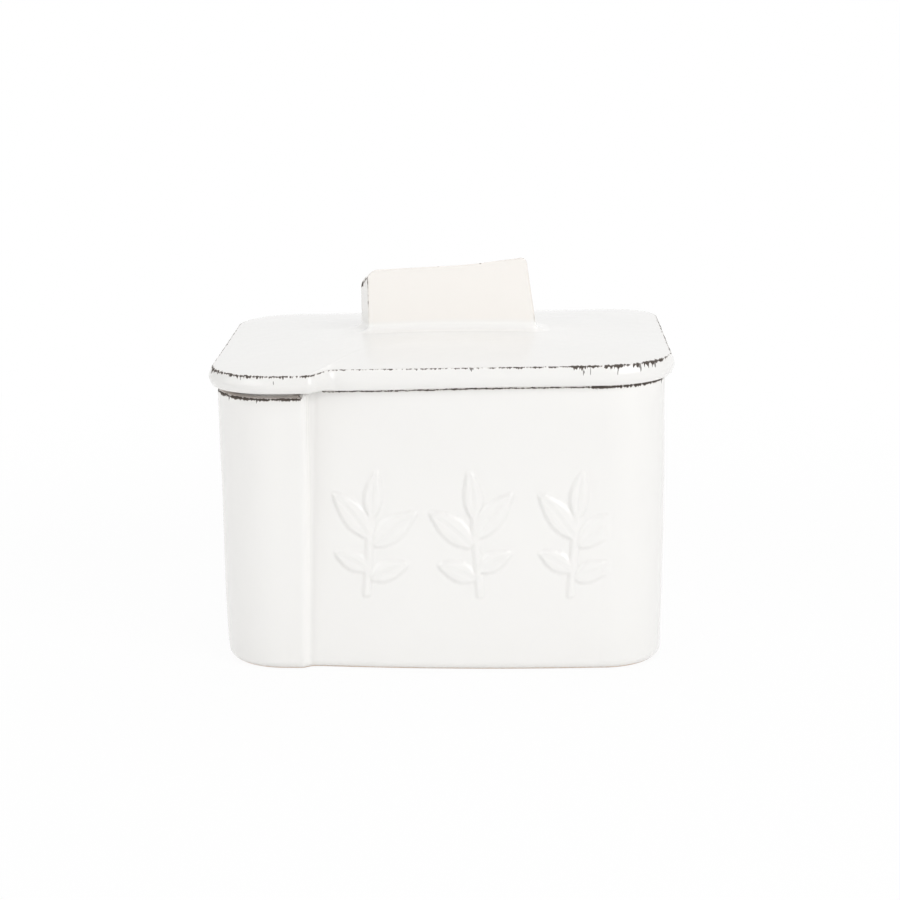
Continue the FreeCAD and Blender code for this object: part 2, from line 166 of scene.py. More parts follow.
def profile(corners, spacing):
    """Points along a path of straight runs with rounded corners.

    corners holds (inset, height, radius). An arc replaces each corner, touching
    its runs at radius times the tangent of half the turn, and runs are divided
    so that no step is longer than spacing.
    """
    places = np.array([corner[:2] for corner in corners], float)
    ways = np.diff(places, axis=0)
    ways /= np.linalg.norm(ways, axis=1)[:, None]
    path = [places[0]]
    next_ways = np.vstack([ways[1:], ways[-1:]])
    for place, before, after, (*_, radius) in zip(places[1:], ways, next_ways, corners[1:]):
        turn = math.atan2(before[0] * after[1] - before[1] * after[0], before @ after)
        reach = radius * math.tan(abs(turn) / 2)
        start = place - before * reach
        run = np.linalg.norm(start - path[-1])
        count = max(1, math.ceil(run / spacing))
        path += list(path[-1] + np.outer(np.arange(1, count + 1) / count, start - path[-1]))
        if reach > 0:
            side = np.array([-before[1], before[0]]) * math.copysign(radius, turn)
            angle = np.linspace(0, abs(turn), max(4, round(abs(turn) * radius / ARC_SPACING)))[1:, None]
            path += list(start + side * (1 - np.cos(angle)) + before * radius * np.sin(angle))
    return np.array(path).T


def waves(x, y, z, size, seed):
    """A soft unevenness between -1 and 1: the mean of sines on random headings."""
    source = np.random.default_rng(seed)
    total = 0
    for _ in range(6):
        way = source.normal(size=3)
        way *= 2 * math.pi / size / np.linalg.norm(way)
        total = total + np.sin(way[0] * x + way[1] * y + way[2] * z + source.uniform(0, 6.3))
    return total / 6


def smooth(low, high, value):
    """0 below low, 1 above high, and a smooth cubic rise between them."""
    share = np.clip((value - low) / (high - low), 0, 1)
    return share * share * (3 - 2 * share)


def closed_skin(name, x, y, z, start, finish, **measures):
    """A closed mesh from rings of points, fanned to a pole at either end.

    Ring i and ring i + 1 are joined by a band of quads. measures are arrays of
    one number for each point, kept as attributes; a pole takes its ring's mean.
    """
    count, around = x.shape
    points = np.vstack([start, np.stack([x, y, z], axis=-1).reshape(-1, 3), finish]) / 1000
    index = 1 + np.arange(count * around).reshape(count, around)
    turned = np.roll(index, -1, axis=1)
    bands = np.stack([index[:-1], turned[:-1], turned[1:], index[1:]], axis=-1).reshape(-1, 4)
    last = len(points) - 1
    fans = [np.stack([np.zeros(around, int), turned[0], index[0]], axis=-1),
            np.stack([np.full(around, last), index[-1], turned[-1]], axis=-1)]
    mesh = bpy.data.meshes.new(name)
    mesh.from_pydata(points.tolist(), [], bands.tolist() + np.vstack(fans).tolist())
    for title, values in measures.items():
        values = np.broadcast_to(values, x.shape)
        whole = np.concatenate([[values[0].mean()], values.ravel(), [values[-1].mean()]])
        layer = mesh.attributes.new(title, "FLOAT", "POINT")
        layer.data.foreach_set("value", whole.astype(np.float32))
    mesh.shade_smooth()
    mesh.update()
    piece = bpy.data.objects.new(name, mesh)
    bpy.context.scene.collection.objects.link(piece)
    return piece


# -------------------------------------------------------------------- the jar
DIP_DEPTH, DIP_RUN, DIP_SIDE = 1.4, 75.0, 46.9
FOOT_WIDTH, FOOT_RECESS, FOOT_ROUND, BASE_ROUND = 5.5, 1.4, 0.5, 3.4
RIM_ROUND, FLOOR_ROUND = 1.1, 4.0
WALL_SPACING, PANEL_SPACING = 2.4, 0.66
PANEL_LOW, PANEL_HIGH = 24.0, 78.0   # between these, rings lie close for the relief
RIM_ROWS = 18                        # rings from there up and over, until the inner wall
LEFT_SWELL, RIGHT_LEAN = 0.35, 0.6   # the left wall swells low down, the right leans in at its top
WALL_WAVE, WALL_WAVE_SIZE = 0.16, 46
# painted shadow: the flat front's gap under the lid is painted dark this far below the rim
GAP_SHADOW_LINE, GAP_SHADOW_DROP = 0.5, 0.3        # how far below the rim the flat front's gap shows dark
# painted shade: a painted shadow under the lid, painted shade on the flat front's upper part and on the
# right wall
UNDER_LID_SHADE, UNDER_LID_REACH = 1.4, 2.0
FRONT_SHADE, SIDE_SHADE = 0.3, 0.8


def rim_height(x, y):
    """The rim rises to the right, and dips at the column, most at its front."""
    dip = DIP_DEPTH * np.clip(1 - (y + JAR_RIM[COLUMN]) / DIP_RUN, 0, 1)
    return RIM + math.tan(TILT) * x - dip * smooth(-DIP_SIDE + 0.4, -DIP_SIDE - 0.2, x)


def leaf(x, z, base, angle, length, width):
    """A leaf in low relief: it swells from its base and narrows to its tip.

    Along the leaf the half width follows the sine of the distance to the power
    0.8; across it the height falls off with the fourth power, less a mid rib.
    """
    angle = math.radians(angle)
    along = ((x - base[0]) * math.cos(angle) + (z - base[1]) * math.sin(angle)) / length
    across = -(x - base[0]) * math.sin(angle) + (z - base[1]) * math.cos(angle)
    across = across - 0.12 * length * along * (1 - along) * math.copysign(1, math.cos(angle))
    half = width / 2 * np.sin(math.pi * np.clip(along, 0.001, 0.999) ** 0.8)
    body = np.clip(1 - (np.abs(across) / half) ** 4, 0, 1) ** 0.5 * smooth(0, 0.06, along)
    body = body * smooth(1, 0.94, along) * smooth(0, 1.6, half)
    rib = 0.35 * np.exp(-(across / 0.55) ** 2) * smooth(1, 0.8, along)
    return body * (1 - rib)


def stem(x, z, base, tip, width):
    """A straight stem in low relief, round in section."""
    way = np.subtract(tip, base)
    share = np.clip(((x - base[0]) * way[0] + (z - base[1]) * way[1]) / (way @ way), 0, 1)
    off = np.hypot(x - base[0] - share * way[0], z - base[1] - share * way[1])
    return 0.8 * np.clip(1 - (off / (width / 2)) ** 2, 0, 1) ** 0.5


SPRIGS = ((-24.5, 0), (11.0, 1), (46.5, 0))
SPRIG_FOOT, RELIEF = 28.0, 1.0


def relief(x, z):
    """Three tea sprigs, each of two leaves and a bud over a pair of low leaves."""
    total = 0 * x
    for middle, flipped in SPRIGS:
        side = -1 if flipped else 1
        across, up = (x - middle) * side, z - SPRIG_FOOT
        shapes = [stem(across, up, (-2.0, 0.0), (0.0, 30.0), 2.6),
                  leaf(across, up, (0.2, 27.0), 84, 19.0, 6.4),
                  leaf(across, up, (-0.4, 20.0), 128, 22.0, 8.6),
                  leaf(across, up, (0.2, 17.0), 40, 21.0, 9.0),
                  leaf(across, up, (-1.2, 8.5), 150, 14.5, 7.4),
                  leaf(across, up, (-1.0, 5.5), 22, 15.5, 7.8)]
        for shape in shapes:
            total = np.maximum(total, shape)
    return total


def fold_depth(count):
    """Painted light along a ring: a painted highlight on the nose and fold, painted shade in the groove.
    """
    nose = CORNER_STEPS[0] + RUN_STEPS[0]
    fold = nose + CORNER_STEPS[1]
    groove = fold + RUN_STEPS[1]
    places = [nose - 2, nose + 3, fold, fold + 3, groove - 1, groove + 2, groove + 5, groove + 9]
    return np.interp(np.arange(count), places, [0, -0.6, -1, -1, 0, 0.6, 0.5, 0])


def jar_shape():
    """The jar's rings: out along its foot, up the wall, over the rim, and down inside.

    Each ring is a mix of the base's outline and the rim's, both moved in by the
    profile, by how high it lies between them. It lies level low down, and
    follows the rim's own rise and dip further up. The fine shapes of the walls
    are pushes outwards. Returns x, y, z, the headings, the distance travelled
    along the profile to the rim's outer edge and to each ring, and which points
    are outside.
    """
    outer_in, outer_up = profile([(FOOT_WIDTH, FOOT_RECESS, 0), (FOOT_WIDTH, 0, FOOT_ROUND),
                                  (0.2, 0, BASE_ROUND), (0, PANEL_LOW, 0)], WALL_SPACING)
    panel_up = np.arange(PANEL_LOW + 0.5, PANEL_HIGH - 0.9, PANEL_SPACING)
    upper_in, upper_up = profile([(0, PANEL_HIGH, 0), (0, RIM, RIM_ROUND), (WALL, RIM, RIM_ROUND),
                                  (WALL, FLOOR, FLOOR_ROUND), (WALL + 9, FLOOR, 0)], WALL_SPACING)
    insets = np.concatenate([outer_in, 0 * panel_up, upper_in])
    heights = np.concatenate([outer_up, panel_up, upper_up])
    travel = np.concatenate([[0], np.cumsum(np.hypot(np.diff(insets), np.diff(heights)))])
    rim_edge = travel[np.argmin(np.abs(insets - 0.3) + np.abs(heights - RIM + 0.3))]

    share = np.clip((heights - LOFT_BASE) / (LOFT_TOP - LOFT_BASE), 0, 1)[:, None]
    softness = smooth(0.8, WALL, insets)
    low, high = (blended_rings(sizes, insets, softness) for sizes in (JAR_BASE, JAR_RIM))
    x, y, heading = (at_base * (1 - share) + at_rim * share for at_base, at_rim in zip(low, high))
    heights = heights[:, None]
    z = heights + (rim_height(x, y) - RIM) * smooth(2, RIM - 3, heights)

    rows = np.arange(len(heights))[:, None]
    outside = (rows < len(outer_up) + len(panel_up) + RIM_ROWS) & (heights > 0.5)
    flat = np.abs(heading) < 1e-6
    rightward = np.sin(heading)
    bow = np.clip(1 - ((x - BOW_MIDDLE) / BOW_HALF) ** 2, 0, 1) * (1 - share)
    bow = FRONT_BOW * bow * flat * (y < 0)
    raised = RELIEF * relief(x, z) * outside * flat * (y > -55)
    swell = LEFT_SWELL * smooth(70, 30, z) * np.clip(-rightward, 0, 1)
    lean = RIGHT_LEAN * smooth(62, 96, z) * np.clip(rightward, 0, 1)
    uneven = swell - lean + WALL_WAVE * waves(x, y, z, WALL_WAVE_SIZE, 3)
    push = raised + bow + uneven * outside * smooth(1, 8, z)
    return x + push * rightward, y - push * np.cos(heading), z, heading, rim_edge - travel, outside


def make_jar():
    """The jar, closed under its foot ring and over its floor, with its glaze's measures and its painted
    light and shade.
    """
    x, y, z, heading, from_rim, outside = jar_shape()
    shrink = np.linspace(0.93, 0.1, 9)[:, None]
    x = np.vstack([x[:1] * shrink[::-1], x, x[-1:] * shrink])
    y = np.vstack([y[:1] * shrink[::-1], y, y[-1:] * shrink])
    z = np.vstack([0 * shrink + z[:1], z, 0 * shrink + z[-1:]])
    beyond = ((len(shrink), len(shrink)), (0, 0))
    edge = np.pad(from_rim[:, None], beyond, constant_values=FAR)
    # a painted shadow under the lid's overhang, fading below the rim's edge, and painted shade on the
    # right wall where it faces right
    under_lid = np.exp(-np.clip(edge, 0, None) / UNDER_LID_REACH)
    side = np.pad(np.clip(np.sin(heading), 0, 1) ** 8 * outside, beyond) * (x > 0)

    # the dark line: a painted shadow of the gap under the lid along the flat front, the rim's worn edge
    # elsewhere
    column = smooth(-DIP_SIDE + 1, -DIP_SIDE - 0.5, x)
    in_front = smooth(-20, -40, y)
    edge = edge - (GAP_SHADOW_LINE + GAP_SHADOW_DROP * smooth(20, -25, x)) * (1 - column) * in_front
    edge = edge + 5 * smooth(-47.4, -46.8, x) * smooth(-40.8, -42, x) * in_front
    worn = 0.22 + 0.6 * np.maximum(column, smooth(46, 54, x) * in_front)

    # painted shade: the painted shadow under the lid and painted shade over the flat front's upper part,
    # on the outside only
    shade = UNDER_LID_SHADE * under_lid * smooth(45, -10, x)
    shade = shade + FRONT_SHADE * smooth(40, 95, z) * smooth(67, 58, x)
    shade = shade * in_front * smooth(-72, -64, x) * (edge > 0)
    return closed_skin("glazed_jar", x, y, z, (0, 0, FOOT_RECESS), (0, 0, FLOOR), edge_distance=edge,
                       glaze_break=worn, glaze_depth=fold_depth(x.shape[1]) + shade + SIDE_SHADE * side,
                       handle_share=0 * x)


# -------------------------------------------------------------------- the lid
LID_HOLLOW, CREASE_INSET = 3.0, 1.3
FLANGE_CLEARANCE, FLANGE_WIDTH, FLANGE_DROP, FLANGE_ROUND = 1.6, 4.5, 5.0, 1.2
SIDE_BULGE, UNDER_ROUND, SIDE_ROUND, CREASE_ROUND = 0.3, 1.6, 4.6, 0.75
EDGE_LIFT, EDGE_HANG = 0.85, 0.4     # the lower edge, over the column and beside it
CROWN, CROWN_POWER = 4.5, 2.6
STEP_MIDDLE, STEP_FADE = 39.7, 16.0  # where the step passes into the crown
SPREAD = 14.0                        # along the crease, what is slow to die out inwards
TOP_WAVE, TOP_WAVE_SIZE = 0.12, 60
CHIPS = ((-64.5, 0.4), (-45.6, 0.7), (46.5, 0.7), (57.3, 1.0))     # in the crease: x and size

HANDLE_FRONT, HANDLE_BACK, HANDLE_EDGE = 1.0, 11.5, 0.8
HANDLE_LEFT, LEFT_SKEW = 27.7, 3.0
HANDLE_RIGHT, RIGHT_SKEW, HANDLE_LEAN = 33.2, 1.0, 3.1
HANDLE_TOP, BEND_AT, BEND_HALF = 34.75, 9.0, 6.6     # its top edge bends up at x = 9
SLOPE, STEEPER = 1.4 / 36.7, 2.5 / 21.1
CORNER_LEFT, CORNER_RIGHT, TOP_FALL = 4.3, 2.6, 3.4
FOOT_REACH, FOOT_RISE = 4.5, 2.0     # the soft foot where the slab meets the lid


def back_share(y):
    """0 at the slab's front face, 1 at its back."""
    return np.clip((y + HANDLE_FRONT) / (HANDLE_BACK + HANDLE_FRONT), 0, 1)


def handle_top(x, deep):
    """The slab's top edge: nearly level, then swept up to the right, its corners round.

    Two slopes meet in a parabola. At each end the edge falls off as a quarter
    circle. The top also falls from front to back, as deep goes from 0 to 1.
    """
    past = np.clip(x - BEND_AT + BEND_HALF, 0, None)
    bend = np.where(past < 2 * BEND_HALF, past ** 2 / (4 * BEND_HALF), past - BEND_HALF)
    line = HANDLE_TOP + SLOPE * (x - BEND_AT) + (STEEPER - SLOPE) * bend
    left = -HANDLE_LEFT - LEFT_SKEW * deep
    right = HANDLE_RIGHT - HANDLE_LEAN - RIGHT_SKEW * deep
    into_left = np.clip((left + CORNER_LEFT - x) / CORNER_LEFT, 0, 1)
    into_right = np.clip((x - right + CORNER_RIGHT) / CORNER_RIGHT, 0, 1)
    fall = CORNER_LEFT * (1 - np.sqrt(1 - into_left ** 2))
    fall = fall + CORNER_RIGHT * (1 - np.sqrt(1 - into_right ** 2))
    return line - fall - TOP_FALL * deep


def crown_height(x, y):
    """The crown's rise, which falls off with the square of the distance from the middle.

    The distance is a mean of the 2.6th powers of x and y over the plate's half
    sizes. In front, the half depth passes smoothly from the column's to the
    flat front's, so that the step leaves no ridge on the top.
    """
    inner = HALF_DEPTH - CREASE_INSET
    front = inner - LID_STEP * smooth(-STEP_FADE, STEP_FADE, x + STEP_MIDDLE)
    depth = inner + (front - inner) * smooth(0, -inner / 2, y)
    across = np.abs(x) / (HALF_LENGTH - CREASE_INSET)
    far = (across ** CROWN_POWER + (np.abs(y) / depth) ** CROWN_POWER) ** (1 / CROWN_POWER)
    return CROWN * (1 - far ** 2)


def handle_ring(grow, lean):
    """Rings round the slab: its plan grown by grow, its right end leant in by lean.

    grow is in mm and lean a share of the end's whole lean, with a number for each
    ring. A ring has as many points as the lid's outline, corner for corner, so
    that rings can pass from one to the other.
    """
    grow, lean = np.atleast_1d(grow)[:, None], np.atleast_1d(lean)[:, None]
    right = HANDLE_RIGHT - HANDLE_LEAN * lean
    left = -HANDLE_LEFT + 0 * lean
    corners = [(left, -HANDLE_FRONT), (right, -HANDLE_FRONT),
               (right - RIGHT_SKEW, HANDLE_BACK), (left - LEFT_SKEW, HANDLE_BACK)]
    inward = [(1, 1), (-1, 1), (-1, -1), (1, -1)]
    steps = [CORNER_STEPS[0], *CORNER_STEPS[3:]]
    runs = [sum(RUN_STEPS[:3]) + sum(CORNER_STEPS[1:3]), *RUN_STEPS[3:]]
    radius = HANDLE_EDGE + grow
    arcs = []
    for number, ((x, y), (in_x, in_y), count) in enumerate(zip(corners, inward, steps)):
        turn = math.pi / 2 * (number - 1 + np.linspace(0, 1, count))
        arcs.append((x + in_x * HANDLE_EDGE + radius * np.sin(turn),
                     y + in_y * HANDLE_EDGE - radius * np.cos(turn)))
    columns = []
    for number, count in enumerate(runs):
        here, after = arcs[number], arcs[(number + 1) % 4]
        share = np.linspace(0, 1, count + 2)[1:-1]
        columns.append(here)
        columns.append(tuple(a[:, -1:] * (1 - share) + b[:, :1] * share for a, b in zip(here, after)))
    return [np.concatenate(parts, axis=1) for parts in zip(*columns)]


def plate_rings():
    """The lid's hollow, flange, underside and side: outlines moved in by a profile.

    The lower edge lifts over the column, and hangs a little beside it. Returns
    x, y, z and the distance from the crease.
    """
    flange_out = OVERHANG + WALL + FLANGE_CLEARANCE
    flange_in = flange_out + FLANGE_WIDTH
    under_in, under_up = profile([(flange_in + 8, LID_HOLLOW, 0), (flange_in, LID_HOLLOW, FLANGE_ROUND),
                                  (flange_in, -FLANGE_DROP, FLANGE_ROUND),
                                  (flange_out, -FLANGE_DROP, FLANGE_ROUND),
                                  (flange_out, 0, 0.4), (5.0, 0, 0)], 3)
    side_in, side_up = profile([(4.6, 0, 0), (1.15, 0, UNDER_ROUND),
                                (-SIDE_BULGE, LID_THICKNESS / 2, SIDE_ROUND),
                                (CREASE_INSET, LID_THICKNESS, CREASE_ROUND),
                                (2 * CREASE_INSET, LID_THICKNESS + 0.14, 0)], 0.5)
    insets = np.concatenate([under_in, side_in])
    heights = np.concatenate([under_up, side_up])
    travel = np.concatenate([[0], np.cumsum(np.hypot(np.diff(insets), np.diff(heights)))])
    x, y, _ = blended_rings(PLATE, insets, smooth(2.7, 10, insets))
    low_share = (smooth(LID_THICKNESS * 0.8, 0.6, heights) * smooth(-FLANGE_DROP, -0.5, heights))[:, None]
    lift = EDGE_LIFT * smooth(-34, -44, x) * np.clip(1 - (y + HALF_DEPTH) / DIP_RUN, 0, 1)
    hang = EDGE_HANG * smooth(-44, -36, x) * smooth(20, -25, x) * (insets[:, None] < 3.4) * (y < 0)
    z = heights[:, None] + low_share * (lift - hang)
    crease = np.argmin(np.abs(insets - 1.5) + np.abs(heights - LID_THICKNESS))
    return x, y, z, (travel[crease] - travel)[:, None] + 0 * x


def crown_rings(x, y, z, foot_x, foot_y, inward):
    """Rings over the crown, from the side's last ring to the slab's foot, as inward goes to 1.

    What the crown's rise misses at the side's last ring dies out inwards. A
    mean of it along the ring, weighed by a bell curve, does so slowly, and the
    rest at once.
    """
    crown_x = x * (1 - inward) + foot_x * inward
    crown_y = y * (1 - inward) + foot_y * inward
    missed = (z - LID_THICKNESS - crown_height(x, y))[0]
    stretch = np.hypot(x - np.roll(x, 1), y - np.roll(y, 1))[0]
    along = np.cumsum(stretch)
    apart = np.abs(along[:, None] - along)
    apart = np.minimum(apart, along[-1] - apart)
    near = np.exp(-(apart / SPREAD) ** 2) * stretch
    slow = near @ missed / near.sum(1)
    crown_z = LID_THICKNESS + crown_height(crown_x, crown_y)
    crown_z = crown_z + slow * (1 - smooth(0, 0.6, inward))
    crown_z = crown_z + (missed - slow) * (1 - smooth(0, 0.14, inward))
    return crown_x, crown_y, crown_z


def slab_rings(foot_z):
    """The slab's sides from its foot up, its rounded top edge, and its top, closing inwards."""
    rise = np.concatenate([np.linspace(0.03, 0.86, 22), np.linspace(0.89, 1, 7)])
    side_x, side_y = handle_ring(0 * rise, 0.1 + 0.9 * rise)
    brow_z = handle_top(side_x, back_share(side_y)) - HANDLE_EDGE
    side_z = foot_z + (brow_z - foot_z) * rise[:, None]

    turn = np.linspace(0, math.pi / 2, 5)[1:]
    edge_x, edge_y = handle_ring(-HANDLE_EDGE * (1 - np.cos(turn)), 1 + 0 * turn)
    edge_z = handle_top(edge_x, back_share(edge_y)) - HANDLE_EDGE * (1 - np.sin(turn))[:, None]

    closing = np.array([0.995, 0.985, 0.97, 0.95, 0.92, 0.89, 0.85, 0.8,
                        0.72, 0.62, 0.5, 0.38, 0.26, 0.14, 0.05])[:, None]
    middle_x, middle_y = edge_x[-1].mean(), (HANDLE_BACK - HANDLE_FRONT) / 2
    cap_x = middle_x + (edge_x[-1:] - middle_x) * closing
    cap_y = middle_y + (edge_y[-1:] - middle_y) * closing
    cap_z = handle_top(cap_x, back_share(cap_y))
    rows = [(side_x, side_y, side_z), (edge_x, edge_y, edge_z), (cap_x, cap_y, cap_z)]
    return [np.vstack(parts) for parts in zip(*rows)], (middle_x, middle_y, handle_top(middle_x, 0.5))


def slab_edge_distance(x, y, z):
    """How far each point of the slab is from the nearest of its own edges.

    An edge is where two of the slab's faces meet, so the distance is the second
    least of those to its ends, its front and back, and its top.
    """
    deep = back_share(y)
    height = np.clip((z - 10) / 25, 0, 1)
    right = HANDLE_RIGHT - RIGHT_SKEW * deep - HANDLE_LEAN * height
    from_ends = np.minimum(np.abs(x + HANDLE_LEFT + LEFT_SKEW * deep), np.abs(right - x))
    from_faces = np.minimum(np.abs(y + HANDLE_FRONT), np.abs(HANDLE_BACK - y))
    from_top = np.abs(handle_top(x, deep) - z)
    return np.sort(np.stack([from_ends, from_faces, from_top]), axis=0)[1]


def lid_wear(x, y, z, on_handle):
    """How broken the glaze is: most in front and at the crease's ends, and in a few chips."""
    in_front = smooth(-32, -44, y + 6 * (x < 0))
    ends = 0.9 * smooth(-42, -46, x) + 1.4 * smooth(40, 47, x) + 0.4 * np.exp(-((x - 24) / 8) ** 2)
    chips = sum(size * np.exp(-((x - place) / 0.9) ** 2) for place, size in CHIPS)
    behind = 0.3 + 0.25 * smooth(55, 70, np.abs(x))
    on_plate = in_front * (0.68 + 0.85 * ends + chips) + (1 - in_front) * behind
    on_slab = 0.1 + 0.36 * smooth(-24, -28, x) + 0.1 * smooth(24, 29, x) * smooth(20, 30, z)
    return np.where(on_handle, on_slab, on_plate)


def seated(x, y, z):
    """A place on the lid, turned and raised to where the lid lies on the tilted rim."""
    return (x * math.cos(TILT) - z * math.sin(TILT), y,
            RIM + x * math.sin(TILT) + z * math.cos(TILT))


def make_lid():
    """The lid: out from under its middle, up its side, in over the crown, up the handle."""
    x, y, z, edge = plate_rings()

    # the handle's foot rises out of the crown in a quarter ellipse
    turn = np.linspace(0, math.pi / 2, 7)
    foot_out, foot_up = FOOT_REACH * (1 - np.sin(turn)), FOOT_RISE * (1 - np.cos(turn))
    skirt_x, skirt_y = handle_ring(foot_out, foot_up / 27)
    skirt_z = LID_THICKNESS + crown_height(skirt_x, skirt_y) + foot_up[:, None]
    inward = np.linspace(0, 1, 46)[1:-1, None] ** 0.9
    crown = crown_rings(x[-1:], y[-1:], z[-1:], skirt_x[:1], skirt_y[:1], inward)
    slab, middle = slab_rings(skirt_z[-1:])

    shrink = np.linspace(0.1, 0.94, 9)[:, None]
    hollow = (x[:1] * shrink, y[:1] * shrink, z[:1] + 0 * shrink)
    slab_start = len(shrink) + len(x) + len(inward) + len(turn)
    from_crease = np.vstack([0 * hollow[0] + FAR, edge, -CREASE_INSET - 70 * inward + 0 * crown[0],
                             0 * skirt_x + FAR])
    skirt = (skirt_x, skirt_y, skirt_z)
    x, y, z = (np.vstack(rows) for rows in zip(hollow, (x, y, z), crown, skirt, slab))
    edge = np.vstack([from_crease, slab_edge_distance(x, y, z)[slab_start:] - 0.25])
    on_handle = (np.arange(len(z)) >= slab_start)[:, None] & np.ones(x.shape, bool)
    worn = lid_wear(x, y, z, on_handle)

    # painted shade on the slab's left end and the plate's side, a painted highlight on the slab's foot
    left_end = on_handle * smooth(-HANDLE_LEFT + 0.8, -HANDLE_LEFT + 0.1, x + LEFT_SKEW * back_share(y))
    depth = left_end * smooth(20, 17, y)
    on_side = ~on_handle * smooth(0, 1.5, z) * smooth(0.5, 1.0, edge)
    depth = depth + on_side * (0.5 + 0.4 * smooth(-40, -45, x))
    depth[slab_start - len(turn):slab_start] = -1
    # painted warm light on the handle, fading in at its foot and dimmed on its left end as painted shade
    share = np.where(on_handle, 1.0, 0.0)
    share[slab_start:slab_start + 2] = [[0.3], [0.8]]
    share = share * (1 - 0.8 * left_end)

    top = ~on_handle & (z > 6.5)
    z = z + TOP_WAVE * (waves(x, y, z, TOP_WAVE_SIZE, 8) - 1) * top
    return closed_skin("glazed_lid", *seated(x, y, z), seated(0, 0, LID_HOLLOW), seated(*middle),
                       edge_distance=edge, glaze_break=worn, glaze_depth=depth, handle_share=share)


# ------------------------------------------------------------------ materials
class Socket:
    """A shader socket that takes part in sums, each of which adds a Math node."""

    def __init__(self, shader, link):
        self.shader = shader
        self.link = link

    def calculate(self, operation, *others):
        inputs = {str(number): value for number, value in enumerate((self, *others))}
        return self.shader.node("ShaderNodeMath", {"operation": operation}, **inputs)[0]

    def __add__(self, other):
        return self.calculate("ADD", other)

    def __sub__(self, other):
        return self.calculate("SUBTRACT", other)

    def __rsub__(self, other):
        return self * -1 + other

    def __mul__(self, other):
        return self.calculate("MULTIPLY", other)

    __radd__ = __add__
    __rmul__ = __mul__

    def above(self, low, high):
        """0 below low, 1 above high, smooth between; low may lie above high."""
        return self.shader.node("ShaderNodeMapRange", {"interpolation_type": "SMOOTHSTEP"},
                                **{"0": self, "1": low, "2": high})[0]


class Shader:
    """The nodes of a material or a world, made one call at a time."""

    def __init__(self, owner):
        owner.use_nodes = True
        self.owner = owner
        self.tree = owner.node_tree
        self.tree.nodes.clear()

    def node(self, kind, settings=None, **inputs):
        """A node of this kind; inputs are named by socket name or by number."""
        node = self.tree.nodes.new(kind)
        for title, value in (settings or {}).items():
            setattr(node, title, value)
        for title, value in inputs.items():
            key = int(title) if title.isdigit() else title.replace("_", " ")
            if isinstance(value, Socket):
                self.tree.links.new(value.link, node.inputs[key])
            else:
                node.inputs[key].default_value = value
        return [Socket(self, output) for output in node.outputs]

    def mix(self, share, first, second):
        """The first colour passing into the second as share goes from 0 to 1."""
        return self.node("ShaderNodeMix", {"data_type": "RGBA"},
                         **{"0": share, "6": first, "7": second})[2]

    def measure(self, title):
        """The mesh's own measure of this name."""
        return self.node("ShaderNodeAttribute", {"attribute_name": title})[2]

    def noise(self, place, scale, detail=2.0, rough=0.5):
        """Soft noise about 0.5; scale is in waves a metre."""
        return self.node("ShaderNodeTexNoise", None, Vector=place, Scale=scale,
                         Detail=detail, Roughness=rough)[0]

    def finish(self, surface, output="ShaderNodeOutputMaterial"):
        self.node(output, None, Surface=surface)
        return self.owner


# painted lit and painted shaded copies of the white glaze; the glaze's own white lies halfway
PAINTED_LIT_WHITE = (0.95, 0.941, 0.922, 1)
PAINTED_SHADED_WHITE = (0.86, 0.851, 0.832, 1)
# painted warm bounce light on the handle
WARM_LIT_CREAM = (0.913, 0.875, 0.83, 1)
THIN_GLAZE = (0.50, 0.36, 0.24, 1)
DARK_WEAR_AND_GAP_SHADOW = (0.030, 0.016, 0.009, 1)
RIM_CLAY = (0.82, 0.745, 0.70, 1)
FOOT_CLAY = (0.78, 0.64, 0.53, 1)
GLOSS = 0.13


